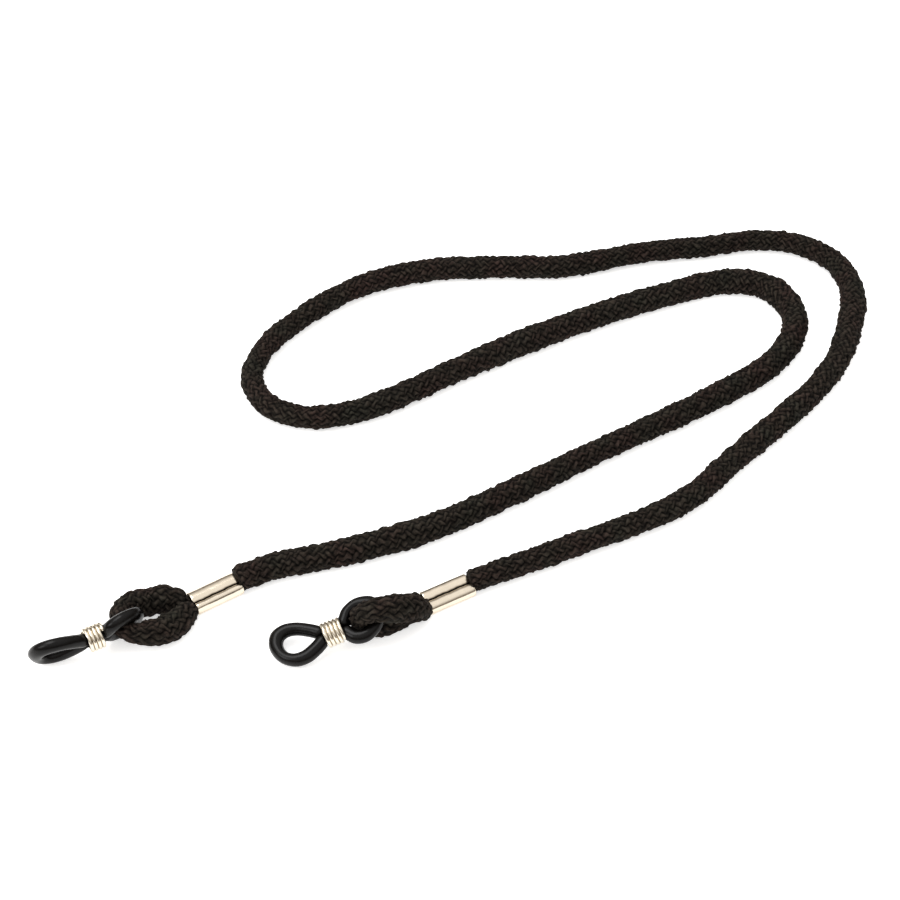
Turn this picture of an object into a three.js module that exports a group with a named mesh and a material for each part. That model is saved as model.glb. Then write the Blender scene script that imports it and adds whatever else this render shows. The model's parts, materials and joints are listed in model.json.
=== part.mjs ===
// Eyeglass retainer strap: one knitted cord laid in loose curves, with a crimped eye at each end.
// A rubber loop hangs in each cord eye, pinched into a figure of eight by a wire coil that slides.
// Millimetres, +Z up, the strap lies on the plane z = 0.
import * as THREE from "three";

// Cord
const CORD_RADIUS = 2.5;
const CORD_SIDES = 10;
const CORD_STEPS = 72;

// Ferrule: a strip rolled into two lobes side by side, its edges meeting in a seam on top
const FERRULE_LENGTH = 10;
const LOBE_RADIUS = 1.45;
const LOBE_OFFSET = 1.3;
const SHEET = 0.4;
const SEAM_HALF_GAP = 0.12;
const SEAM_DEPTH = 1.6;

// Doubled cord inside a ferrule
const CLAMPED_RADIUS = 0.7;
const CLAMPED_OFFSET = 1.435;
const CLAMPED_HEIGHT = 1.42;
const FACE_GAP = 0.3;

// Rubber loop, along its own axis from the coil's centre: u points to the temple eye, v across
const RUBBER_RADIUS = 1.25;
const RUBBER_SIDES = 10;
const RUBBER_STEPS = 56;
const CORD_SIDE_CENTRE = -5.85;
const CORD_SIDE_LENGTH = 3.35;
const CORD_SIDE_WIDTH = 3.45;
const TEMPLE_WIDTH = 3.35;
const TEMPLE_TIP = 11.15;
const WAIST_OFFSET = 0.76;
const WAIST_SQUEEZE = 0.48;
const WAIST_FLATTEN = 0.9;
const WAIST_HALF_LENGTH = 2.4;
const WAIST_BLEND = 1.6;
const LOOP_BEND = 0.012;

// Wire coil
const WIRE_RADIUS = 0.36;
const COIL_MEAN_RADIUS = 2.18;
const COIL_TURNS = 4.5;
const COIL_PITCH = 0.77;
const COIL_STEPS = 60;
const WIRE_SIDES = 8;

// The free cord's route from the left ferrule's back face to the right one's, one smooth curve
const CORD_ROUTE = [
  [3, 11.4], [9.5, 10.6], [22.5, 6.5], [40, 2.5], [58, 1.5], [82, 1.5], [106, 1], [122, 1.5],
  [131, 3], [139, 7], [144.5, 14], [144.5, 23], [137.5, 29.5], [124, 33], [106, 36], [88, 37.5],
  [70, 38], [54, 38], [44, 39.5], [36, 43.5], [31.5, 50.5], [32.5, 59.5], [39.5, 66.5], [51.5, 71],
  [67.5, 73], [83, 69.5], [97, 62], [110.5, 53.5], [127.5, 48], [142, 41.5], [153, 37],
  [160.5, 30], [163, 20.5], [159.5, 11], [151.5, 2.5], [138, -6.5], [103.5, -16], [88, -19.5],
  [58.5, -16.5], [40.7, -13.8],
];

// The two ends. front is the middle of the ferrule's outer face on the floor, and heading is the
// direction from there to the tip. eye is the cord eye's centreline in the ferrule's own frame:
// out from the ferrule's face, to the left of that, and up. loop places the rubber loop and its
// coil: the coil's centre, the loop's heading, its nose-up pitch and its roll about its length.
const ENDS = {
  left: {
    front: [-7.5, 11.4],
    heading: 180,
    eye: [
      [0.5, 1.3, 1.45], [1, 1.35, 1.5], [2, 2, 2], [4.4, 3.4, 2.5], [7.8, 4.3, 2.9], [11, 4.25, 4],
      [13.5, 2.75, 4.6], [14.5, 0.1, 4.7], [13.5, -2.85, 4.6],
      [11, -4.55, 4], [7.8, -4.45, 2.9], [4.4, -3.4, 2.5], [2, -2, 2], [1, -1.35, 1.5], [0.5, -1.3, 1.45],
    ],
    loop: { centre: [-27.9, 11.6, 4.65], heading: 176, pitch: 0, roll: 66 },
  },
  right: {
    front: [30.3, -13.1],
    heading: 176.5,
    eye: [
      [0.5, 1.3, 1.45], [1, 1.35, 1.5], [2.2, 2.2, 3.4], [4, 2.9, 6.1], [6.8, 3.3, 8.5], [10.2, 3.2, 9.8],
      [12.7, 2, 8.9], [13.9, 0.6, 6.8], [14.1, 0, 5], [13.6, -0.1, 3.4],
      [11.2, 0.4, 2.35], [8, 0.9, 2.5], [4.2, 0.1, 2.35], [2, -1, 1.75], [1, -1.3, 1.5], [0.5, -1.3, 1.45],
    ],
    loop: { centre: [10.8, -11.5, 4.1], heading: 164, pitch: -13, roll: -8 },
  },
};

// Radius of the strand in a cord eye at each distance out from the ferrule's face: pinched by the
// crimp at the ferrule, and by the rubber loop at the apex
const EYE_RADII = [[0, 1.25], [1.6, 1.45], [3, 1.8], [5, 2.2], [8, 2.35], [10.5, 1.9], [12.5, 1.6], [16, 1.55]];
const EYE_STEPS = 36;

const knit = new THREE.MeshStandardMaterial({ color: 0x1b1815, roughness: 0.9, metalness: 0 });
const rubber = new THREE.MeshStandardMaterial({ color: 0x141414, roughness: 0.35, metalness: 0 });
const nickel = new THREE.MeshStandardMaterial({ color: 0xd8cfc0, roughness: 0.25, metalness: 1 });

function named(name, geometry, material) {
  const mesh = new THREE.Mesh(geometry, material);
  mesh.name = name;
  return mesh;
}

function polygon(radius, sides) {
  const shape = new THREE.Shape();
  for (let i = 0; i < sides; i += 1) {
    const angle = (2 * Math.PI * i) / sides;
    const x = radius * Math.cos(angle);
    const y = radius * Math.sin(angle);
    if (i === 0) {
      shape.moveTo(x, y);
    } else {
      shape.lineTo(x, y);
    }
  }
  shape.closePath();
  return shape;
}

function sweep(curve, radius, sides, steps) {
  return new THREE.ExtrudeGeometry(polygon(radius, sides), { steps, extrudePath: curve });
}

function interpolate(table, x) {
  let k = 1;
  while (k < table.length - 1 && x > table[k][0]) {
    k += 1;
  }
  const [x0, y0] = table[k - 1];
  const [x1, y1] = table[k];
  return THREE.MathUtils.mapLinear(THREE.MathUtils.clamp(x, x0, x1), x0, x1, y0, y1);
}

function edit(geometry, change) {
  const position = geometry.attributes.position;
  const point = new THREE.Vector3();
  for (let i = 0; i < position.count; i += 1) {
    point.fromBufferAttribute(position, i);
    change(point, i);
    position.setXYZ(i, point.x, point.y, point.z);
  }
  return geometry;
}

// A strand whose radius follows EYE_RADII. Each vertex of a sweep stands one radius from the
// centre of its own ring, so the ring is the nearest centre at just that distance.
function eyeStrand(curve) {
  const rings = curve.getSpacedPoints(EYE_STEPS);
  const geometry = sweep(curve, CORD_RADIUS, CORD_SIDES, EYE_STEPS);
  return edit(geometry, (point) => {
    const miss = (centre) => Math.abs(centre.distanceTo(point) - CORD_RADIUS);
    const ring = rings.reduce((best, centre) => (miss(centre) < miss(best) ? centre : best));
    point.sub(ring).multiplyScalar(interpolate(EYE_RADII, ring.x) / CORD_RADIUS).add(ring);
  });
}

function ferruleSection() {
  const inner = LOBE_RADIUS - SHEET;
  const lobeHeight = LOBE_RADIUS;
  const seamBottom = 2 * LOBE_RADIUS - SEAM_DEPTH;
  const outerSeam = Math.acos((SEAM_HALF_GAP - LOBE_OFFSET) / LOBE_RADIUS);
  const innerSeam = Math.acos((SEAM_HALF_GAP + SHEET - LOBE_OFFSET) / inner);
  const shape = new THREE.Shape();
  shape.moveTo(SEAM_HALF_GAP, seamBottom);
  shape.absarc(LOBE_OFFSET, lobeHeight, LOBE_RADIUS, outerSeam, -Math.PI / 2, true);
  shape.absarc(-LOBE_OFFSET, lobeHeight, LOBE_RADIUS, -Math.PI / 2, -Math.PI - outerSeam, true);
  shape.lineTo(-SEAM_HALF_GAP, seamBottom);
  shape.lineTo(-SEAM_HALF_GAP - SHEET, seamBottom);
  shape.absarc(-LOBE_OFFSET, lobeHeight, inner, Math.PI - innerSeam, (3 * Math.PI) / 2, false);
  shape.absarc(LOBE_OFFSET, lobeHeight, inner, -Math.PI / 2, innerSeam, false);
  shape.lineTo(SEAM_HALF_GAP + SHEET, seamBottom);
  shape.closePath();
  return shape;
}

function ferrule() {
  const geometry = new THREE.ExtrudeGeometry(ferruleSection(), {
    depth: FERRULE_LENGTH,
    bevelEnabled: false,
    curveSegments: 12,
  });
  geometry.rotateX(Math.PI / 2);
  geometry.rotateZ(Math.PI / 2);
  geometry.translate(-FERRULE_LENGTH, 0, 0);
  return geometry;
}

// One strand squeezed in a ferrule's lobe, on the side +1 or -1
function clampedStrand(side) {
  const y = side * CLAMPED_OFFSET;
  const from = new THREE.Vector3(-FERRULE_LENGTH, y, CLAMPED_HEIGHT);
  const to = new THREE.Vector3(-FACE_GAP, y, CLAMPED_HEIGHT);
  return sweep(new THREE.LineCurve3(from, to), CLAMPED_RADIUS, WIRE_SIDES, 1);
}

function loopCurve() {
  const side = [
    [CORD_SIDE_CENTRE - CORD_SIDE_LENGTH, 0],
    [CORD_SIDE_CENTRE - CORD_SIDE_LENGTH * 0.77, CORD_SIDE_WIDTH * 0.64],
    [CORD_SIDE_CENTRE, CORD_SIDE_WIDTH],
    [CORD_SIDE_CENTRE + CORD_SIDE_LENGTH * 0.62, CORD_SIDE_WIDTH * 0.82],
    [-2.85, 1.7],
    [-2.25, 0.9],
    [-1.4, WAIST_OFFSET],
    [1.4, WAIST_OFFSET],
    [2.25, 0.9],
    [4, 2.05],
    [6.4, TEMPLE_WIDTH * 0.96],
    [8.6, TEMPLE_WIDTH],
    [10.4, TEMPLE_WIDTH * 0.68],
    [TEMPLE_TIP, 0],
  ];
  const back = side.slice(1, -1).reverse().map(([u, v]) => [u, -v]);
  const points = [...side, ...back].map(([u, v]) => new THREE.Vector3(u, v, 0));
  return new THREE.CatmullRomCurve3(points, true, "centripetal");
}

// The rubber loop: a closed ring, squeezed to two half-round strands where the coil grips it, and
// bent gently sideways along its length. The bend is level whatever the loop's roll.
function rubberLoop(roll) {
  const curve = loopCurve();
  const geometry = new THREE.TubeGeometry(curve, RUBBER_STEPS, RUBBER_RADIUS, RUBBER_SIDES, true);
  const rings = curve.getSpacedPoints(RUBBER_STEPS);
  return edit(geometry, (point, i) => {
    const ring = rings[Math.floor(i / (RUBBER_SIDES + 1))];
    const open = THREE.MathUtils.smoothstep(
      Math.abs(ring.x),
      WAIST_HALF_LENGTH,
      WAIST_HALF_LENGTH + WAIST_BLEND,
    );
    const squeeze = THREE.MathUtils.lerp(WAIST_SQUEEZE, 1, open);
    point.x = ring.x + (point.x - ring.x) * squeeze;
    point.y = ring.y + (point.y - ring.y) * squeeze;
    point.z *= THREE.MathUtils.lerp(WAIST_FLATTEN, 1, open);
    const bend = -LOOP_BEND * point.x * point.x;
    point.y += bend * Math.cos(roll);
    point.z -= bend * Math.sin(roll);
  });
}

class Helix extends THREE.Curve {
  getPoint(t, target = new THREE.Vector3()) {
    const angle = 2 * Math.PI * COIL_TURNS * t;
    const along = (t - 0.5) * COIL_TURNS * COIL_PITCH;
    return target.set(along, COIL_MEAN_RADIUS * Math.cos(angle), COIL_MEAN_RADIUS * Math.sin(angle));
  }
}

function endAssembly(side, end) {
  const heading = THREE.MathUtils.degToRad(end.heading);
  const strap = new THREE.Group();
  strap.position.set(end.front[0], end.front[1], 0);
  strap.rotation.z = heading;
  const eyePoints = end.eye.map(([x, y, z]) => new THREE.Vector3(x, y, z));
  const eye = new THREE.CatmullRomCurve3(eyePoints, false, "centripetal");
  strap.add(named(`${side}_ferrule`, ferrule(), nickel));
  strap.add(named(`${side}_clamped_strand`, clampedStrand(1), knit));
  strap.add(named(`${side}_clamped_tail`, clampedStrand(-1), knit));
  strap.add(named(`${side}_cord_eye`, eyeStrand(eye), knit));

  const roll = THREE.MathUtils.degToRad(end.loop.roll);
  const pitch = THREE.MathUtils.degToRad(end.loop.pitch);
  const loop = new THREE.Group();
  loop.position.set(...end.loop.centre);
  loop.rotation.set(roll, -pitch, THREE.MathUtils.degToRad(end.loop.heading), "ZYX");
  loop.add(named(`${side}_rubber_loop`, rubberLoop(roll), rubber));
  loop.add(named(`${side}_wire_coil`, sweep(new Helix(), WIRE_RADIUS, WIRE_SIDES, COIL_STEPS), nickel));

  const assembly = new THREE.Group();
  assembly.add(strap, loop);
  return assembly;
}

function freeCord() {
  const points = CORD_ROUTE.map(([x, y]) => new THREE.Vector3(x, y, CORD_RADIUS));
  const route = new THREE.CatmullRomCurve3(points, false, "centripetal");
  return sweep(route, CORD_RADIUS, CORD_SIDES, CORD_STEPS);
}

const strap = new THREE.Group();
strap.add(named("strap_cord", freeCord(), knit));
for (const [side, end] of Object.entries(ENDS)) {
  strap.add(endAssembly(side, end));
}

export default strap;
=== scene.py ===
"""The looks of the eyeglass retainer strap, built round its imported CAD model, in metres.

One knitted cord lies in loose curves on a white table. Each end is doubled back through a crimped
nickel ferrule into a cord eye. A rubber loop hangs in the eye, gripped at its waist by a wire coil.
"""

import json
import math

import bpy
import numpy as np
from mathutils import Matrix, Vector


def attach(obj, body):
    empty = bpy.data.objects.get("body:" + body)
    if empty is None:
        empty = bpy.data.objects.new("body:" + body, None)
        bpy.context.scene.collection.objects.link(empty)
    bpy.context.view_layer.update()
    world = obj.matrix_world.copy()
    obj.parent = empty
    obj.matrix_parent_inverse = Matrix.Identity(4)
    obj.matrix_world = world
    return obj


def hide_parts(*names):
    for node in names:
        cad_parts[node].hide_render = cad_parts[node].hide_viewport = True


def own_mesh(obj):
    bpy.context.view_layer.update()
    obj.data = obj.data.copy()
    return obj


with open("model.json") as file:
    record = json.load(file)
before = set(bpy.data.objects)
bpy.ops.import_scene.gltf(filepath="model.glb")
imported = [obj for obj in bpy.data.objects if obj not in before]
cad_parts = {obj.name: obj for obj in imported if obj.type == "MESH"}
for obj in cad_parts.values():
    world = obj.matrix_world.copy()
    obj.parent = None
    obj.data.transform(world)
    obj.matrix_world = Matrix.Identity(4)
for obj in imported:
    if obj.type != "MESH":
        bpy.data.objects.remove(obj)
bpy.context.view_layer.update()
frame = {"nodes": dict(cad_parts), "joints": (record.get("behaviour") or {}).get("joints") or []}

MM = 0.001
KNIT_SEED = 7

# Camera: a product shot from the left end's side, high enough to look down on the loops
CAMERA_TARGET = (0.0579, 0.0205, 0.0)
CAMERA_AZIMUTH = -33.0
CAMERA_ELEVATION = 45.5
CAMERA_DISTANCE = 0.4195
CAMERA_LENS = 80.2
SENSOR_WIDTH = 36.0

# The free cord's route, in millimetres on the table, from the left ferrule's back to the right one's
CORD_RADIUS = 2.5
CORD_ROUTE = [
    (3, 11.4), (9.5, 10.6), (22.5, 6.5), (40, 2.5), (58, 1.5), (82, 1.5), (106, 1), (122, 1.5),
    (131, 3), (139, 7), (144.5, 14), (144.5, 23), (137.5, 29.5), (124, 33), (106, 36), (88, 37.5),
    (70, 38), (54, 38), (44, 39.5), (36, 43.5), (31.5, 50.5), (32.5, 59.5), (39.5, 66.5), (51.5, 71),
    (67.5, 73), (83, 69.5), (97, 62), (110.5, 53.5), (127.5, 48), (142, 41.5), (153, 37),
    (160.5, 30), (163, 20.5), (159.5, 11), (151.5, 2.5), (138, -6.5), (103.5, -16), (88, -19.5),
    (58.5, -16.5), (40.7, -13.8),
]

# Share of the cord's radius at each distance from a ferrule's back face
CORD_END_SHARE = [(0, 0.86), (0.35, 0.97), (1.0, 1.0)]

# How far the cord starts inside the back of a ferrule, and its slow twist in radians per millimetre
CORD_TUCK = 0.05
CORD_TWIST = 0.004

# How full the soft cord is at each distance along it, from the left end, as a share of its radius
CORD_FULLNESS = [
    (0, 1.05), (20, 1.15), (60, 1.1), (90, 1.0), (115, 1.15), (130, 1.1), (145, 1.2), (175, 1.15),
    (190, 1.1), (215, 1.2), (245, 1.05), (310, 0.95), (330, 1.05), (370, 1.05), (405, 0.95),
    (440, 1.0), (455, 1.2), (475, 1.1), (510, 1.1), (540, 1.0), (577, 0.95),
]

# Knit: stitches in V-shaped pairs of legs, in six columns round the cord
LEG_COLUMNS = 12
STITCH_PITCH = 1.8
FEWEST_STITCHES = 4
SAMPLES_PER_LEG = 4
SAMPLES_PER_STITCH = 6
KNIT_MAP = "knit"

# A leg: its slant in stitches, the power that squares its outline, the lean of its edges in columns,
# and the power that fills its crown
LEG_SLANT = 2 / 3
LEG_ROUNDNESS = 2.5
LEG_INTERLOCK = 0.24
LEG_CROWN = 0.75

# Heights of the legs' crowns and of the pits between them, off the cord's round
KNIT_CREST = 0.22
KNIT_PIT = -0.75

# How much the stitches differ in height and tilt, from a list that each stitch picks from in strides
STITCH_VARIATION = 0.34
STITCH_TILT = 0.3
STITCH_KINDS = 997
COLUMN_STRIDE = 37
ROW_STRIDE = 11

# Waves of a handled knit, along and across: amplitude, length in stitches, turns round the cord, phase
PULL_WAVES = [(0.17, 4.3, 2, 0.0), (0.13, 2.6, -3, 1.0)]
LEAN_WAVES = [(0.14, 3.1, 3, 2.0)]

# Slow waves along a strand, in its thickness and its twist: amplitude, length in millimetres, phase
THICKNESS_WAVES = [(0.018, 31.0, 1.0), (0.014, 12.7, 2.2), (0.010, 5.9, 0.4)]
TWIST_WAVES = [(0.35, 143.0, 0.6)]

# Ferrule: a strip rolled into two lobes side by side, its lips meeting in a seam on top
FERRULE_LENGTH = 10.0
LOBE_RADIUS = 1.45
LOBE_OFFSET = 1.3
SHEET = 0.4
SEAM_HALF_GAP = 0.12
SEAM_DEPTH = 1.6
LOBE_SAMPLES = 34
FLAT_SAMPLES = 6
LIP_SAMPLES = 7

# Rims: the round of their edges, and where the evenly spaced rings between them begin
RIM_ROUND = 0.16
RIM_MARGIN = 0.6
FERRULE_RINGS = 24

# The seam wavers on a slow and a fast wave, each an amplitude and radians per millimetre. The sheet is
# drawn aside with it from the first of two heights up, and fully from the second. Painted shade darkens
# the seam out to the first of two distances and is gone at the second. There is none below its floor.
SEAM_SLOW_WAVE = (0.05, 1.7)
SEAM_FAST_WAVE = (0.03, 4.1)
SEAM_HEIGHTS = (0.7, 1.6)
SEAM_SHADE_REACH = (0.14, 0.3)
SEAM_SHADE_FLOOR = 1.0

# Rubber loop, from the coil's centre: u points out to the temple eye, v across, w through the loop
RUBBER_RADIUS = 1.33
CORD_SIDE_CENTRE = -5.85
CORD_SIDE_LENGTH = 3.35
CORD_SIDE_WIDTH = 3.45
TEMPLE_WIDTH = 3.35
TEMPLE_TIP = 11.15
LOOP_BEND = 0.012
RUBBER_SIDES = 28
RUBBER_STEPS = 360
PARTING_RIDGE = 0.035

# Its waist in the coil: the two strands' places, the shares of their width and height that the grip
# leaves, how far it reaches and fades, and half the gap between the strands out to a distance
WAIST_OFFSET = 0.76
WAIST_SQUEEZE = 0.45
WAIST_FLATTEN = 0.9
WAIST_HALF_LENGTH = 1.75
WAIST_BLEND = 0.8
STRAND_GAP = 0.02
STRAND_REACH = 4.5

# Where the loop's two pieces meet under the coil
RUBBER_SPLIT = 1.9

# Wire coil. A cut end keeps this share of the wire's section, and a whole one would grow in this length.
WIRE_RADIUS = 0.377
WIRE_END_SHARE = 0.45
WIRE_END_ROUND = 0.25
COIL_MEAN_RADIUS = 2.18
COIL_TURNS = 4.5
COIL_PITCH = 0.77
COIL_STEPS = 200
WIRE_SIDES = 16

# The two ends, in millimetres and degrees. front is the middle of the ferrule's outer face on the
# table, and heading the way it points. seam_shift is how far to its left the seam lies, and seam_phase,
# in radians, where its waver starts. eye is the cord eye's centreline: out from that face, left and up.
# eye_narrowing is the share of its width that it keeps, and eye_sag how far its raised part sinks.
# loop has the coil's centre, the way the temple eye points, how far it tips up, and its roll.
ENDS = {
    "left": {
        "front": (-7.5, 11.4),
        "heading": 180.0,
        "seam_shift": 0.78,
        "seam_phase": 4,
        "eye_narrowing": 0.93,
        "eye_sag": 0.0,
        "eye": [
            (0.5, 1.3, 1.45), (1, 1.35, 1.5), (2, 2, 2), (4.4, 3.4, 2.5), (7.8, 4.3, 2.9),
            (11, 4.25, 4), (13.5, 2.75, 4.6), (14.5, 0.1, 4.7), (13.5, -2.85, 4.6), (11, -4.55, 4),
            (7.8, -4.45, 2.9), (4.4, -3.4, 2.5), (2, -2, 2), (1, -1.35, 1.5), (0.5, -1.3, 1.45),
        ],
        "loop": {"centre": (-27.9, 11.6, 4.65), "heading": 176.0, "pitch": 0.0, "roll": 66.0},
    },
    "right": {
        "front": (30.3, -13.1),
        "heading": 176.5,
        "seam_shift": 0.2,
        "seam_phase": 5,
        "eye_narrowing": 1.0,
        "eye_sag": 1.0,
        "eye": [
            (0.5, 1.3, 1.45), (1, 1.35, 1.5), (2.2, 2.2, 3.4), (4, 2.9, 6.1), (6.8, 3.3, 8.5),
            (10.2, 3.2, 9.8), (12.7, 2, 8.9), (13.9, 0.6, 6.8), (14.1, 0, 5), (13.6, -0.1, 3.4),
            (11.2, 0.4, 2.35), (8, 0.9, 2.5), (4.2, 0.1, 2.35), (2, -1, 1.75), (1, -1.3, 1.5),
            (0.5, -1.3, 1.45),
        ],
        "loop": {"centre": (10.8, -11.5, 4.1), "heading": 164.0, "pitch": -13.0, "roll": -8.0},
    },
}

# Radius of the strand in a cord eye at each distance out from the ferrule's face
EYE_RADII = [
    (-0.3, 0.9), (0.05, 0.98), (0.3, 1.5), (0.9, 1.8), (2, 2.25), (3.5, 2.65), (5, 2.85), (8, 2.85),
    (11, 2.6), (13, 2.35), (16, 2.3),
]

# Where an eye's strands start, from the ferrule's face, and where a sagging eye is raised: between these
# two heights, and over this length from this distance out
EYE_LEAD = -0.25
EYE_SAG_HEIGHTS = (3.0, 6.0)
EYE_SAG_START = 1
EYE_SAG_LENGTH = 12.5

# Where an eye's two strands press on each other: half the gap that they leave, and how far apart along
# the strand two places are before they count as two strands
PRESS_GAP = 0.03
SAME_STRAND = 12.0

# Room that an eye leaves for the rubber ring and the coil, how soon that for the coil fades towards the
# ring, and how far the coil swings to either side, one degree more than its hinge allows
RING_CLEARANCE = 0.08
COIL_CLEARANCE = 0.12
COIL_ROOM_FADE = 0.8
SWING = math.radians(111)


# ---------------------------------------------------------------- curves and frames

SHORTEST_SPAN = 1e-4


def smoothstep(x, low, high):
    """0 below low and 1 above high, with a smooth rise between them."""
    t = np.clip((x - low) / (high - low), 0, 1)
    return t * t * (3 - 2 * t)


def hermite(p0, p1, p2, p3, t):
    """One centripetal Catmull-Rom segment from p1 to p2, at each t from 0 to 1."""
    spans = ((p0, p1), (p1, p2), (p2, p3))
    d0, d1, d2 = (max(np.linalg.norm(b - a) ** 0.5, SHORTEST_SPAN) for a, b in spans)
    m1 = ((p1 - p0) / d0 - (p2 - p0) / (d0 + d1) + (p2 - p1) / d1) * d1
    m2 = ((p2 - p1) / d1 - (p3 - p1) / (d1 + d2) + (p3 - p2) / d2) * d1
    t = t[:, None]
    return (
        p1
        + m1 * t
        + (-3 * p1 + 3 * p2 - 2 * m1 - m2) * t**2
        + (2 * p1 - 2 * p2 + m1 + m2) * t**3
    )


def spline(points, closed=False, per_segment=60):
    """A dense line through the points: the same smooth curve as the CAD model's."""
    p = np.array(points, float)
    if closed:
        around = np.vstack([p[-1:], p, p[:2]])
    else:
        around = np.vstack([2 * p[:1] - p[1:2], p, 2 * p[-1:] - p[-2:-1]])
    t = np.linspace(0, 1, per_segment, endpoint=False)
    runs = [hermite(*around[i : i + 4], t) for i in range(len(around) - 3)]
    return np.vstack(runs + [around[-2][None] if closed else p[-1:]])


def arc_length(line):
    """Distance of each point along the line from its start."""
    return np.concatenate([[0], np.cumsum(np.linalg.norm(np.diff(line, axis=0), axis=1))])


def from_nearer_end(line):
    """Distance of each point along the line from the nearer of its ends."""
    along = arc_length(line)
    return np.minimum(along, along[-1] - along)


def resample(line, count):
    """count points evenly spaced along the line."""
    along = arc_length(line)
    at = np.linspace(0, along[-1], count)
    return np.stack([np.interp(at, along, line[:, k]) for k in range(3)], axis=1)


def unit(v):
    """Each vector at length 1."""
    return v / np.linalg.norm(v, axis=-1, keepdims=True)


def tangents(line, closed=False):
    """The direction of the line at each of its points."""
    if closed:
        return unit(np.roll(line, -1, axis=0) - np.roll(line, 1, axis=0))
    return unit(np.gradient(line, axis=0))


def frames_level(line):
    """Side and up vectors along a line that lies flat on the table."""
    t = tangents(line)
    up = np.tile([0.0, 0.0, 1.0], (len(line), 1))
    return unit(np.cross(up, t)), up


def frames_carried(line):
    """Side and up vectors carried along a line with no twist between one ring and the next."""
    t = tangents(line)
    side = unit(np.cross([0, 0, 1], t[0]))
    sides = []
    for direction in t:
        side = unit(side - direction * (side @ direction))
        sides.append(side)
    sides = np.array(sides)
    return sides, np.cross(t, sides)


def place_end(local, end):
    """Points in a ferrule's own frame to the row frame, in millimetres."""
    a = math.radians(end["heading"])
    c, s = math.cos(a), math.sin(a)
    x, y, z = local[..., 0], local[..., 1], local[..., 2]
    return np.stack([end["front"][0] + c * x - s * y, end["front"][1] + s * x + c * y, z], axis=-1)


def loop_axes(loop):
    """The rubber loop's u, v and w directions as the columns of a matrix."""
    h, p, r = (math.radians(loop[k]) for k in ("heading", "pitch", "roll"))
    turn = np.array([[math.cos(h), -math.sin(h), 0], [math.sin(h), math.cos(h), 0], [0, 0, 1]])
    tip = np.array([[math.cos(p), 0, -math.sin(p)], [0, 1, 0], [math.sin(p), 0, math.cos(p)]])
    roll = np.array([[1, 0, 0], [0, math.cos(r), -math.sin(r)], [0, math.sin(r), math.cos(r)]])
    return turn @ tip @ roll


def place_loop(local, loop):
    """Points in a rubber loop's own frame to the row frame, in millimetres."""
    return local @ loop_axes(loop).T + np.array(loop["centre"])


# ---------------------------------------------------------------- meshes


def mesh_object(name, points, faces, material):
    """A mesh piece from points in millimetres in the row frame."""
    mesh = bpy.data.meshes.new(name)
    mesh.from_pydata((np.asarray(points) * MM).tolist(), [], faces)
    mesh.polygons.foreach_set("use_smooth", [True] * len(mesh.polygons))
    mesh.materials.append(material)
    mesh.validate()
    obj = bpy.data.objects.new(name, mesh)
    bpy.context.scene.collection.objects.link(obj)
    return obj


def grid_faces(rings, sides):
    """Quads of a tube whose points are stored ring by ring, with a flat cap at each end."""
    i = np.arange(rings - 1)[:, None]
    j = np.arange(sides)[None, :]
    here, there = i * sides, (i + 1) * sides
    right = (j + 1) % sides
    quads = np.stack(np.broadcast_arrays(here + j, here + right, there + right, there + j), axis=-1)
    faces = quads.reshape(-1, 4).tolist()
    faces.append(list(range(sides))[::-1])
    faces.append(list(range((rings - 1) * sides, rings * sides)))
    return faces


# ---------------------------------------------------------------- knit


def knit_height(stitch, column, wobble):
    """Height of the knit above its pits, 0 to 1. stitch counts along the cord, column round it.

    The legs of neighbouring columns slant opposite ways and lie half a stitch apart, so they make
    a plait of Vs.
    """
    leg = np.floor(column)
    odd = leg % 2
    across = 2 * (column - leg) - 1
    along = stitch + (1 - 2 * odd) * LEG_SLANT * across / 2 + odd / 2
    row = np.floor(along + 0.5)
    within = 2 * (along - row)
    reach = np.abs(across) ** LEG_ROUNDNESS + np.abs(within) ** LEG_ROUNDNESS
    bulge = np.clip(1 - (reach / 2) ** (2 / LEG_ROUNDNESS), 0, 1) ** LEG_CROWN
    strides = (leg.astype(int) % LEG_COLUMNS) * COLUMN_STRIDE + row.astype(int) * ROW_STRIDE
    pick = strides % len(wobble)
    size, lean_across, lean_along = wobble[pick].transpose(2, 0, 1)
    return bulge * (size + lean_across * across + lean_along * within)


def interlock(stitch, column):
    """How far the edge between two columns leans aside, in columns, where a leg is at its widest."""
    even_edge = (1 + np.cos(math.pi * column)) / 2
    odd_wave = np.cos(2 * math.pi * (stitch + LEG_SLANT / 2))
    even_wave = np.cos(2 * math.pi * (stitch - LEG_SLANT / 2 + 0.5))
    return LEG_INTERLOCK * ((1 - even_edge) * odd_wave + even_edge * even_wave)


def knit_wave(stitch, turn, waves):
    """A sum of waves that run along the cord and a whole number of times round it."""
    return sum(a * np.sin(2 * math.pi * (stitch / w + n * turn) + p) for a, w, n, p in waves)


def uneven(stitch, column):
    """The stitch and column counts with the unevenness of a soft, handled knit."""
    turn = column / LEG_COLUMNS
    pull = knit_wave(stitch, turn, PULL_WAVES)
    lean = knit_wave(stitch, turn, LEAN_WAVES)
    return stitch + pull, column + lean


def slow_wave(s, waves):
    """A sum of (amplitude, wavelength, phase) sines along s."""
    return sum(a * np.sin(2 * math.pi * s / w + p) for a, w, p in waves)


def stitch_kinds():
    """The list of stitches to pick from: each one's height, and its tilt across and along."""
    random = np.random.default_rng(KNIT_SEED)
    return np.stack(
        [
            1 - STITCH_VARIATION * random.random(STITCH_KINDS),
            STITCH_TILT * (random.random(STITCH_KINDS) - 0.5),
            STITCH_TILT * (random.random(STITCH_KINDS) - 0.5),
        ],
        axis=1,
    )


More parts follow.
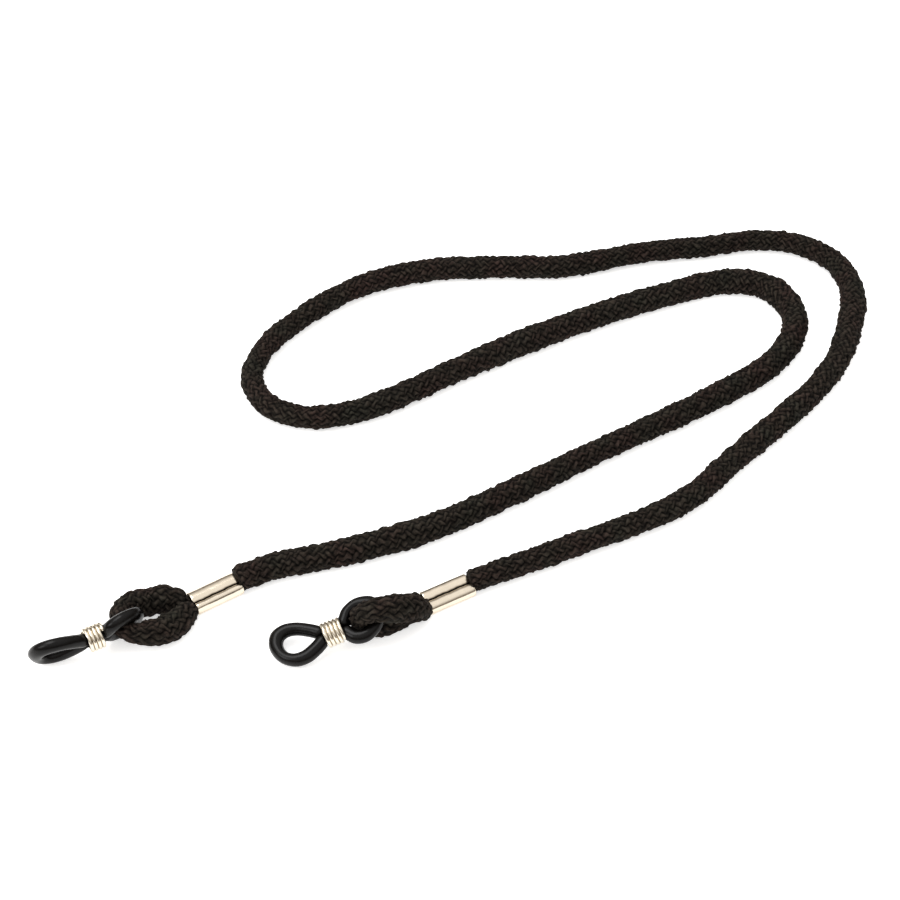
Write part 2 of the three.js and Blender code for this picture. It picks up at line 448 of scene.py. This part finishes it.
def knitted_tube(name, line, radii, frames, material, squeeze, twist_rate=0.0):
    """A knitted strand along the line. Returns the piece and its ring centres, in millimetres.

    frames gives the strand's side and up vectors. squeeze takes the strand's points and its ring
    centres, and returns the points as the strand's neighbours press them.
    """
    along = arc_length(line)
    stitches = max(FEWEST_STITCHES, round(along[-1] / STITCH_PITCH))
    rings = stitches * SAMPLES_PER_STITCH + 1
    sides = LEG_COLUMNS * SAMPLES_PER_LEG
    centres = resample(line, rings)
    at = np.linspace(0, along[-1], rings)
    radius = np.interp(at, along, radii)
    side, up = frames(centres)

    stitch = np.arange(rings)[:, None] / SAMPLES_PER_STITCH
    column = np.arange(sides)[None, :] / SAMPLES_PER_LEG
    height = knit_height(*uneven(stitch, column), stitch_kinds())
    thick = 1 + slow_wave(at, THICKNESS_WAVES)
    share = radius / CORD_RADIUS
    relief = (KNIT_PIT + (KNIT_CREST - KNIT_PIT) * height) * np.sqrt(share)[:, None]
    reach = (radius * thick)[:, None] + relief

    placed = column + interlock(stitch, column)
    twist = twist_rate * at + slow_wave(at, TWIST_WAVES)
    turn = 2 * math.pi * placed / LEG_COLUMNS + twist[:, None]
    out = np.cos(turn)[..., None] * side[:, None] + np.sin(turn)[..., None] * up[:, None]
    points = squeeze(centres[:, None] + reach[..., None] * out, centres)
    obj = mesh_object(name, points.reshape(-1, 3), grid_faces(rings, sides), material)
    add_knit_map(obj, rings, sides)
    return obj, centres


def add_knit_map(obj, rings, sides):
    """Texture coordinates in stitches along and leg columns round, for the yarn in the material."""
    layer = obj.data.uv_layers.new(name=KNIT_MAP)
    vertex = np.zeros(len(obj.data.loops), np.int64)
    obj.data.loops.foreach_get("vertex_index", vertex)
    u = vertex // sides / SAMPLES_PER_STITCH
    j = vertex % sides
    quads = (rings - 1) * sides
    corner = j[: quads * 4].reshape(-1, 4)
    wrapped = (corner == 0) & (corner.max(axis=1) == sides - 1)[:, None]
    j[: quads * 4] = np.where(wrapped, sides, corner).ravel()
    uv = np.stack(uneven(u, j / SAMPLES_PER_LEG), axis=1)
    layer.data.foreach_set("uv", uv.ravel().astype(np.float32))


def rest_on_table(points, centres):
    """The soft underside flattens where it touches the table."""
    points[..., 2] = np.maximum(points[..., 2], 0.0)
    return points


def press_strands(points, centres):
    """Where the two strands of an eye lie closer than their thickness, each is flattened halfway."""
    along = arc_length(centres)
    gap = np.linalg.norm(centres[:, None] - centres[None], axis=2)
    gap[np.abs(along[:, None] - along[None]) < SAME_STRAND] = np.inf
    partner = gap.argmin(axis=1)
    for i, k in enumerate(partner):
        if np.isinf(gap[i, k]):
            continue
        towards = (centres[k] - centres[i]) / gap[i, k]
        over = (points[i] - centres[i]) @ towards - (gap[i, k] / 2 - PRESS_GAP)
        points[i] -= np.clip(over, 0, None)[:, None] * towards
    return points


def clear_of_ring(points, joint):
    """The soft eye gives way round the rubber ring through it, whichever way the ring is turned."""
    centre, axis = np.array(joint["pos_m"]) / MM, unit(np.array(joint["axis"], float))
    ring_radius = (CORD_SIDE_LENGTH + CORD_SIDE_WIDTH) / 2
    from_centre = points - centre
    off_plane = from_centre @ axis
    flat = from_centre - off_plane[..., None] * axis
    reach = np.linalg.norm(flat, axis=-1)
    from_ring = reach - ring_radius
    push = np.maximum((RUBBER_RADIUS + RING_CLEARANCE) / np.hypot(from_ring, off_plane), 1)
    new_reach = ring_radius + from_ring * push
    return centre + flat * (new_reach / reach)[..., None] + (off_plane * push)[..., None] * axis


def clear_of_coil(points, joint, coil_centre):
    """The soft eye gives way to the coil, which swings past it on either side."""
    centre, axis = np.array(joint["pos_m"]) / MM, unit(np.array(joint["axis"], float))
    to_coil = np.array(coil_centre) - centre
    near_end = np.linalg.norm(to_coil) - (COIL_TURNS * COIL_PITCH / 2 + WIRE_RADIUS + COIL_CLEARANCE)
    width = COIL_MEAN_RADIUS + WIRE_RADIUS + COIL_CLEARANCE
    from_centre = points - centre
    off_plane = from_centre @ axis
    flat = from_centre - off_plane[..., None] * axis
    reach = np.linalg.norm(flat, axis=-1)
    angle = np.arccos(np.clip(flat @ unit(to_coil) / reach, -1, 1))
    aside = reach * np.sin(np.clip(angle - SWING, 0, math.pi / 2))
    fade = smoothstep(reach, near_end - COIL_ROOM_FADE, near_end)
    room = np.sqrt(np.clip(width**2 - aside**2, 0, None)) * fade
    side = np.where(off_plane < 0, -1, 1)
    return flat + centre + (side * np.maximum(np.abs(off_plane), room))[..., None] * axis


def make_cord(material):
    """The free cord, from the back of one ferrule to the back of the other."""
    route = spline([(x, y, CORD_RADIUS) for x, y in CORD_ROUTE])
    tucked = np.array([CORD_TUCK - FERRULE_LENGTH, 0, CORD_RADIUS])
    route = np.vstack([place_end(tucked, ENDS["left"]), route, place_end(tucked, ENDS["right"])])
    fullness = np.interp(arc_length(route), *zip(*CORD_FULLNESS))
    radii = CORD_RADIUS * fullness * np.interp(from_nearer_end(route), *zip(*CORD_END_SHARE))
    cord, centres = knitted_tube(
        "knitted_cord", route, radii, frames_level, material, rest_on_table, CORD_TWIST
    )
    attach(cord, "cord")
    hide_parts("strap_cord")


def make_eye(side, end, material):
    """The cord eye at one end: the cord doubled back, dented by what is in it and beside it."""
    points = end["eye"]
    lead = [(EYE_LEAD, *points[0][1:])] + points + [(EYE_LEAD, *points[-1][1:])]
    local = spline(lead) * (1, end["eye_narrowing"], 1)
    out = np.clip((local[:, 0] - EYE_SAG_START) / EYE_SAG_LENGTH, 0, 1)
    raised = smoothstep(local[:, 2], *EYE_SAG_HEIGHTS) * np.sin(math.pi * out)
    local[:, 2] -= end["eye_sag"] * raised
    radii = np.interp(local[:, 0], *zip(*EYE_RADII))
    joint = next(j for j in frame["joints"] if j["name"] == f"{side}_loop_swing")

    def squeeze(points, centres):
        points = clear_of_ring(press_strands(points, centres), joint)
        points = clear_of_coil(points, joint, end["loop"]["centre"])
        return rest_on_table(points, centres)

    eye, _ = knitted_tube(
        f"{side}_knitted_eye", place_end(local, end), radii, frames_carried, material, squeeze
    )
    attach(eye, "cord")
    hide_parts(f"{side}_cord_eye")


# ---------------------------------------------------------------- ferrule


def ferrule_midline():
    """The middle of the rolled sheet in section: from the seam's left lip round to its right lip."""
    middle = LOBE_RADIUS - SHEET / 2
    seam_y = SEAM_HALF_GAP + SHEET / 2
    lip = 2 * LOBE_RADIUS - SEAM_DEPTH
    top = math.acos((seam_y - LOBE_OFFSET) / middle)
    angles = np.linspace(top, -math.pi / 2, LOBE_SAMPLES)
    lobe = np.stack(
        [LOBE_OFFSET + middle * np.cos(angles), LOBE_RADIUS + middle * np.sin(angles)], axis=1
    )
    rise = np.linspace(lip, lobe[0, 1], FLAT_SAMPLES, endpoint=False)
    seam = np.stack([np.full(len(rise), seam_y), rise], axis=1)
    inwards = np.linspace(LOBE_OFFSET, 0, FLAT_SAMPLES)[1:]
    base = np.stack([inwards, np.full(len(inwards), SHEET / 2)], axis=1)
    right = np.vstack([seam, lobe, base])
    left = right[::-1][1:] * (-1, 1)
    return np.vstack([right, left])


def ferrule_outline(thickness):
    """The closed outline of a sheet of that thickness round the midline, with round lips."""
    middle = ferrule_midline()
    t = unit(np.gradient(middle, axis=0))
    normal = np.stack([-t[:, 1], t[:, 0]], axis=1)
    half = thickness / 2
    turn = np.linspace(0, math.pi, LIP_SAMPLES)[1:-1, None]
    end_lip = middle[-1] + half * (np.cos(turn) * normal[-1] + np.sin(turn) * t[-1])
    start_lip = middle[0] + half * (-np.cos(turn) * normal[0] - np.sin(turn) * t[0])
    return np.vstack([middle + half * normal, end_lip, (middle - half * normal)[::-1], start_lip])


def seam_aside(x, end):
    """How far to the left the seam lies at a distance x behind the ferrule's outer face."""
    slow, slow_rate = SEAM_SLOW_WAVE
    fast, fast_rate = SEAM_FAST_WAVE
    slow_part = slow * math.sin(slow_rate * x + end["seam_phase"])
    return end["seam_shift"] + slow_part + fast * math.sin(fast_rate * x)


def make_ferrule(side, end, material):
    """Rings of the outline along the ferrule: rounded rims, and a seam that wavers a little."""
    rim = [(0.0, 2 * RIM_ROUND), (0.02, 1.3 * RIM_ROUND), (0.06, 0.6 * RIM_ROUND), (RIM_ROUND, 0.0)]
    inner = [(x, 0.0) for x in np.linspace(RIM_MARGIN, FERRULE_LENGTH - RIM_MARGIN, FERRULE_RINGS)]
    stations = rim + inner + [(FERRULE_LENGTH - x, cut) for x, cut in reversed(rim)]
    half_width = LOBE_OFFSET + LOBE_RADIUS
    rings = []
    seam_shade = []
    for x, cut in stations:
        outline = ferrule_outline(SHEET - cut)
        near_seam = (1 - (outline[:, 0] / half_width) ** 2) * smoothstep(outline[:, 1], *SEAM_HEIGHTS)
        y = outline[:, 0] + seam_aside(x, end) * near_seam
        rings.append(np.stack([np.full(len(y), -x), y, outline[:, 1]], axis=1))
        # Painted shade in the seam, full at its middle and fading out to either side
        seam_shade.append(1 - smoothstep(np.abs(outline[:, 0]), *SEAM_SHADE_REACH))
    points = place_end(np.array(rings), end)
    sides = points.shape[1]
    piece = mesh_object(
        f"{side}_crimped_ferrule",
        points.reshape(-1, 3),
        grid_faces(len(points), sides),
        material,
    )
    layer = piece.data.attributes.new("seam_shade", "FLOAT", "POINT")
    # The painted seam shade is kept off the bottom of the ferrule
    low = points.reshape(-1, 3)[:, 2] < SEAM_SHADE_FLOOR
    layer.data.foreach_set("value", np.where(low, 0, np.concatenate(seam_shade)).astype(np.float32))
    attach(piece, "cord")
    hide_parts(f"{side}_ferrule")


# ---------------------------------------------------------------- rubber loop and coil


def loop_curve():
    """The loop's centreline, pinched into a figure of eight, without its bend."""
    side = [
        (CORD_SIDE_CENTRE - CORD_SIDE_LENGTH, 0),
        (CORD_SIDE_CENTRE - CORD_SIDE_LENGTH * 0.77, CORD_SIDE_WIDTH * 0.64),
        (CORD_SIDE_CENTRE, CORD_SIDE_WIDTH),
        (CORD_SIDE_CENTRE + CORD_SIDE_LENGTH * 0.62, CORD_SIDE_WIDTH * 0.82),
        (-2.85, 1.7),
        (-2.25, 0.9),
        (-1.4, WAIST_OFFSET),
        (1.4, WAIST_OFFSET),
        (2.25, 0.9),
        (4, 2.05),
        (6.4, TEMPLE_WIDTH * 0.96),
        (8.6, TEMPLE_WIDTH),
        (10.4, TEMPLE_WIDTH * 0.68),
        (TEMPLE_TIP, 0),
    ]
    back = [(u, -v) for u, v in side[1:-1][::-1]]
    return spline([(u, v, 0) for u, v in side + back], closed=True)


def rubber_points(roll):
    """Rings round the closed loop, squeezed where the coil grips and bent gently along the length."""
    centres = resample(loop_curve(), RUBBER_STEPS + 1)[:-1]
    t = tangents(centres, closed=True)
    across = np.cross(t, [0, 0, 1])
    turn = 2 * math.pi * np.arange(RUBBER_SIDES) / RUBBER_SIDES
    ridge = PARTING_RIDGE * (np.arange(RUBBER_SIDES) % (RUBBER_SIDES // 2) == 0)
    reach = (RUBBER_RADIUS + ridge)[None, :, None]
    offset = reach * (
        np.cos(turn)[None, :, None] * across[:, None]
        + np.sin(turn)[None, :, None] * np.array([0, 0, 1.0])
    )
    opened = smoothstep(np.abs(centres[:, 0]), WAIST_HALF_LENGTH, WAIST_HALF_LENGTH + WAIST_BLEND)
    level = WAIST_SQUEEZE + (1 - WAIST_SQUEEZE) * opened[:, None]
    offset[..., 0] *= level
    offset[..., 1] *= level
    offset[..., 2] *= WAIST_FLATTEN + (1 - WAIST_FLATTEN) * opened[:, None]
    points = centres[:, None] + offset
    for sign in (1, -1):
        own = (sign * centres[:, 1] > 0) & (np.abs(centres[:, 0]) < STRAND_REACH)
        points[own, :, 1] = sign * np.maximum(sign * points[own, :, 1], STRAND_GAP)
    bend = -LOOP_BEND * points[..., 0] ** 2
    points[..., 1] += bend * math.cos(roll)
    points[..., 2] -= bend * math.sin(roll)
    return points, centres


def rubber_piece(name, rings, material, body, node):
    """One piece of the rubber loop, from its rings in millimetres in the row frame."""
    piece = mesh_object(name, rings.reshape(-1, 3), grid_faces(len(rings), RUBBER_SIDES), material)
    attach(piece, body)
    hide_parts(node)
    return piece


def make_rubber_loop(side, loop, material):
    """Two pieces that meet under the coil: the cord-side eye, and the temple eye."""
    local, centres = rubber_points(math.radians(loop["roll"]))
    points = place_loop(local, loop)
    outer = centres[:, 0] > RUBBER_SPLIT
    first = int(np.argmax(outer))
    count = int(outer.sum())
    order = (first + np.arange(-1, RUBBER_STEPS)) % RUBBER_STEPS
    temple = points[order[: count + 2]]
    cord_side = points[np.append(order[count + 1 :], order[1])]
    body, node = f"{side}_loop", f"{side}_rubber_loop"
    rubber_piece(f"{side}_rubber_cord_eye", cord_side, material, body, node)
    closing = rubber_piece(f"{side}_rubber_temple_eye", temple, material, body, node)
    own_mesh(closing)


def make_coil(side, loop, material):
    """The wire of the coil, its two cut ends rounded over."""
    t = np.linspace(0, 1, COIL_STEPS)
    turn = 2 * math.pi * COIL_TURNS * t
    centres = np.stack(
        [
            (t - 0.5) * COIL_TURNS * COIL_PITCH,
            COIL_MEAN_RADIUS * np.cos(turn),
            COIL_MEAN_RADIUS * np.sin(turn),
        ],
        axis=1,
    )
    along = tangents(centres)
    outward = centres * (0, 1, 1) / COIL_MEAN_RADIUS
    outward = unit(outward - along * np.sum(outward * along, axis=1, keepdims=True))
    third = np.cross(along, outward)
    angle = 2 * math.pi * np.arange(WIRE_SIDES) / WIRE_SIDES
    section = np.clip(WIRE_END_SHARE + from_nearer_end(centres) / WIRE_END_ROUND, 0, 1)
    radius = WIRE_RADIUS * np.sqrt(section)
    points = centres[:, None] + radius[:, None, None] * (
        np.cos(angle)[None, :, None] * outward[:, None] + np.sin(angle)[None, :, None] * third[:, None]
    )
    rings = place_loop(points, loop)
    piece = mesh_object(
        f"{side}_nickel_coil", rings.reshape(-1, 3), grid_faces(COIL_STEPS, WIRE_SIDES), material
    )
    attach(piece, f"{side}_coil")
    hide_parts(f"{side}_wire_coil")


# ---------------------------------------------------------------- materials

# Yarn: waves of its plies across a leg, and how high fibres and plies stand in the bump
PLY_WAVES = 16.0
FIBRE_HEIGHT = 1.4
PLY_HEIGHT = 0.35

# Metal: the range of roughness that smudges make, the share of the colour left under them, and the
# colour of the painted shade in a seam
SMUDGE_ROUGHNESS = 0.12
SMUDGE_SHARE = 0.93
SEAM_SHADE_COLOR = (0.035, 0.022, 0.014, 1)


class Nodes:
    """A short way to write a material's node tree. Scales are in waves per metre."""

    def __init__(self, name):
        self.material = bpy.data.materials.new(name)
        self.material.use_nodes = True
        self.tree = self.material.node_tree
        self.shader = next(n for n in self.tree.nodes if n.type == "BSDF_PRINCIPLED")

    def add(self, kind, settings=None, **inputs):
        """A new node. An input is set by its name, or by i and its number."""
        node = self.tree.nodes.new("ShaderNode" + kind)
        for key, value in (settings or {}).items():
            setattr(node, key, value)
        for key, value in inputs.items():
            self.set(node, int(key[1:]) if key[0] == "i" and key[1:].isdigit() else key, value)
        return node

    def set(self, node, socket, value):
        """Set an input to a value, or link it to another node's output."""
        target = node.inputs[socket]
        if isinstance(value, bpy.types.NodeSocket):
            self.tree.links.new(value, target)
        else:
            target.default_value = value

    def math(self, operation, a, b=0.0, c=0.0):
        """The result of a math node."""
        return self.add("Math", {"operation": operation}, i0=a, i1=b, i2=c).outputs[0]

    def multiply(self, a, b):
        """The product of two colours."""
        node = self.add("Mix", {"data_type": "RGBA", "blend_type": "MULTIPLY"})
        for socket, value in ((0, 1.0), (6, a), (7, b)):
            self.set(node, socket, value)
        return node.outputs[2]

    def ramp(self, factor, *stops):
        """A colour that runs through the stops, each a position and a colour."""
        node = self.add("ValToRGB", Fac=factor)
        elements = node.color_ramp.elements
        while len(elements) < len(stops):
            elements.new(0.5)
        for element, (position, color) in zip(elements, stops):
            element.position = position
            element.color = (*color, 1)
        return node.outputs["Color"]

    def noise(self, scale, detail, roughness):
        """Noise from 0 to 1 in the piece's own space."""
        node = self.add("TexNoise", Scale=scale, Detail=detail, Roughness=roughness)
        self.set(node, "Vector", self.add("TexCoord").outputs["Object"])
        return node.outputs["Fac"]

    def bump(self, height, distance, strength):
        """Bump the surface by a height times a distance in metres, at a strength from 0 to 1."""
        node = self.add("Bump", Height=height, Distance=distance, Strength=strength)
        self.set(self.shader, "Normal", node.outputs["Normal"])

    def finish(self, **values):
        """Set the surface's own values and return the material."""
        for key, value in values.items():
            self.set(self.shader, key.replace("_", " "), value)
        return self.material


def knit_material():
    """Black yarn: matt legs of fine plies, with painted shade in the gaps between stitches and painted
    light on their crowns.
    """
    n = Nodes("black_knit")
    uv = n.add("SeparateXYZ", Vector=n.add("UVMap", {"uv_map": KNIT_MAP}).outputs["UV"])
    stitch, column = uv.outputs["X"], uv.outputs["Y"]
    leg = n.math("FLOOR", column)
    across = n.math("MULTIPLY_ADD", n.math("SUBTRACT", column, leg), 2.0, -1.0)
    odd = n.math("MODULO", leg, 2.0)
    slant = n.math("MULTIPLY_ADD", odd, -LEG_SLANT, LEG_SLANT / 2)
    along = n.math("MULTIPLY_ADD", across, slant, n.math("MULTIPLY_ADD", odd, 0.5, stitch))
    within = n.math("MULTIPLY_ADD", n.math("FRACT", n.math("ADD", along, 0.5)), 2.0, -1.0)
    reach = n.math(
        "ADD",
        n.math("POWER", n.math("ABSOLUTE", across), LEG_ROUNDNESS),
        n.math("POWER", n.math("ABSOLUTE", within), LEG_ROUNDNESS),
    )
    depth = n.math("MULTIPLY", reach, 0.5)
    plies = n.math("SINE", n.math("MULTIPLY", within, PLY_WAVES))
    fibre = n.noise(2600.0, 3.0, 0.65)
    patch = n.noise(150.0, 3.0, 0.6)
    tint = n.ramp(
        patch,
        (0.3, (0.0145, 0.0138, 0.0106)),
        (0.5, (0.0172, 0.0134, 0.0106)),
        (0.7, (0.0208, 0.0130, 0.0110)),
    )
    # Painted shade in the pits between the legs, and painted light on their crowns
    painted_shading = n.ramp(depth, (0.02, (1.5,) * 3), (0.3, (0.7,) * 3), (0.5, (0.25,) * 3), (0.7, (0.02,) * 3))
    speckle = n.ramp(n.noise(1100.0, 2.0, 0.6), (0.35, (0.45,) * 3), (0.65, (1.5,) * 3))
    lit = n.multiply(n.multiply(tint, painted_shading), speckle)
    yarn = n.math("MULTIPLY_ADD", fibre, FIBRE_HEIGHT, n.math("MULTIPLY", plies, PLY_HEIGHT))
    n.bump(yarn, 0.00006, 0.6)
    return n.finish(
        Base_Color=lit,
        Roughness=0.85,
        Sheen_Weight=0.02,
        Sheen_Roughness=0.5,
        Sheen_Tint=(0.9, 0.8, 0.7, 1),
        Specular_IOR_Level=0.06,
    )


def metal_material(name, color, roughness, scratch_scale):
    """Bright nickel with fine drawn lines, faint smudges, and painted shade where a piece marks its
    seam.
    """
    n = Nodes(name)
    smudge = n.noise(320.0, 4.0, 0.6)
    grain = n.noise(scratch_scale, 2.0, 0.5)
    worn = n.ramp(smudge, (0.35, tuple(SMUDGE_SHARE * c for c in color)), (0.65, color))
    # Painted shade: the colour turns near black where the piece marks its seam
    seam_shaded = n.add("Mix", {"data_type": "RGBA"})
    n.set(seam_shaded, 0, n.add("Attribute", {"attribute_name": "seam_shade"}).outputs["Fac"])
    n.set(seam_shaded, 6, worn)
    n.set(seam_shaded, 7, SEAM_SHADE_COLOR)
    rough = n.math("MULTIPLY_ADD", smudge, SMUDGE_ROUGHNESS, roughness - SMUDGE_ROUGHNESS / 2)
    n.bump(grain, 0.00001, 0.25)
    return n.finish(Base_Color=seam_shaded.outputs[2], Metallic=1.0, Roughness=rough)


def rubber_material():
    """Black moulded rubber, semi-gloss, with a fine skin texture and dusty patches."""
    n = Nodes("black_rubber")
    dust = n.noise(260.0, 4.0, 0.6)
    skin = n.noise(3000.0, 2.0, 0.5)
    color = n.ramp(dust, (0.35, (0.0016, 0.0014, 0.0013)), (0.75, (0.0045, 0.0038, 0.0034)))
    rough = n.math("MULTIPLY_ADD", dust, 0.16, 0.18)
    n.bump(skin, 0.00001, 0.3)
    return n.finish(Base_Color=color, Roughness=rough, Specular_IOR_Level=0.14)


# ---------------------------------------------------------------- stage, light and camera

# The table glows, reaches far past the strap and lies just under it. The lamps point near its middle.
TABLE_GLOW = 0.57
TABLE_REACH = 3000.0
TABLE_TOP = -0.02
LIGHT_TARGET = (0.05, 0.02, 0.0)

# The light tent: warm and dim near the table's horizon, white above
STUDIO_WALLS = [(0.2, (0.14, 0.115, 0.09)), (0.78, (1.0, 0.985, 0.96))]
STUDIO_BRIGHTNESS = 1.35


def make_stage():
    """A seamless white table, lit from below as well."""
    n = Nodes("white_table")
    tone = n.noise(30.0, 2.0, 0.5)
    n.finish(
        Base_Color=n.ramp(tone, (0.3, (0.90, 0.90, 0.90)), (0.7, (0.92, 0.92, 0.92))),
        Roughness=0.9,
        Emission_Color=(1, 1, 1, 1),
        Emission_Strength=TABLE_GLOW,
    )
    directions = [(-1, -1), (1, -1), (1, 1), (-1, 1)]
    corners = [(x * TABLE_REACH, y * TABLE_REACH, TABLE_TOP) for x, y in directions]
    table = mesh_object("white_table", corners, [[0, 1, 2, 3]], n.material)


def area_light(name, position, size, power):
    """A white rectangular lamp, in metres and watts, that points at the strap."""
    data = bpy.data.lights.new(name, "AREA")
    data.shape = "RECTANGLE"
    data.size, data.size_y = size
    data.energy = power
    lamp = bpy.data.objects.new(name, data)
    lamp.location = position
    lamp.rotation_euler = (Vector(LIGHT_TARGET) - Vector(position)).to_track_quat("-Z", "Y").to_euler()
    bpy.context.scene.collection.objects.link(lamp)


def make_light():
    """The light tent's walls as the world, and two softboxes."""
    world = bpy.data.worlds.new("studio")
    world.use_nodes = True
    tree = world.node_tree
    background = tree.nodes["Background"]
    direction = tree.nodes.new("ShaderNodeTexCoord")
    split = tree.nodes.new("ShaderNodeSeparateXYZ")
    tree.links.new(direction.outputs["Generated"], split.inputs[0])
    ramp = tree.nodes.new("ShaderNodeValToRGB")
    tree.links.new(split.outputs["Z"], ramp.inputs[0])
    for element, (height, color) in zip(ramp.color_ramp.elements, STUDIO_WALLS):
        element.position = height
        element.color = (*color, 1)
    tree.links.new(ramp.outputs[0], background.inputs["Color"])
    background.inputs["Strength"].default_value = STUDIO_BRIGHTNESS
    bpy.context.scene.world = world
    area_light("softbox_top", (-0.15, 0.35, 0.75), (0.5, 0.4), 3.5)
    area_light("softbox_left", (-0.6, 0.1, 0.45), (0.3, 0.3), 1.6)


def make_camera():
    """The camera that takes the product shot."""
    a, e = math.radians(CAMERA_AZIMUTH), math.radians(CAMERA_ELEVATION)
    back = Vector((math.sin(a) * math.cos(e), -math.cos(a) * math.cos(e), math.sin(e)))
    data = bpy.data.cameras.new("camera")
    data.lens = CAMERA_LENS
    data.sensor_width = SENSOR_WIDTH
    data.clip_start = 0.01
    camera = bpy.data.objects.new("camera", data)
    camera.location = Vector(CAMERA_TARGET) + CAMERA_DISTANCE * back
    camera.rotation_euler = (-back).to_track_quat("-Z", "Y").to_euler()
    bpy.context.scene.collection.objects.link(camera)
    bpy.context.scene.camera = camera


# ---------------------------------------------------------------- the scene

make_camera()
knit = knit_material()
make_cord(knit)

nickel_sheet = metal_material("nickel_sheet", (0.66, 0.585, 0.48), 0.2, 900.0)
nickel_wire = metal_material("nickel_wire", (0.72, 0.655, 0.545), 0.22, 1200.0)
rubber = rubber_material()
for side_name, end_facts in ENDS.items():
    make_eye(side_name, end_facts, knit)
    make_ferrule(side_name, end_facts, nickel_sheet)
    make_rubber_loop(side_name, end_facts["loop"], rubber)
    make_coil(side_name, end_facts["loop"], nickel_wire)
    for node_name in (f"{side_name}_clamped_strand", f"{side_name}_clamped_tail"):
        node = frame["nodes"][node_name]
        node.data.materials.clear()
        node.data.materials.append(knit)

make_stage()
make_light()
bpy.context.scene.view_settings.view_transform = "Standard"
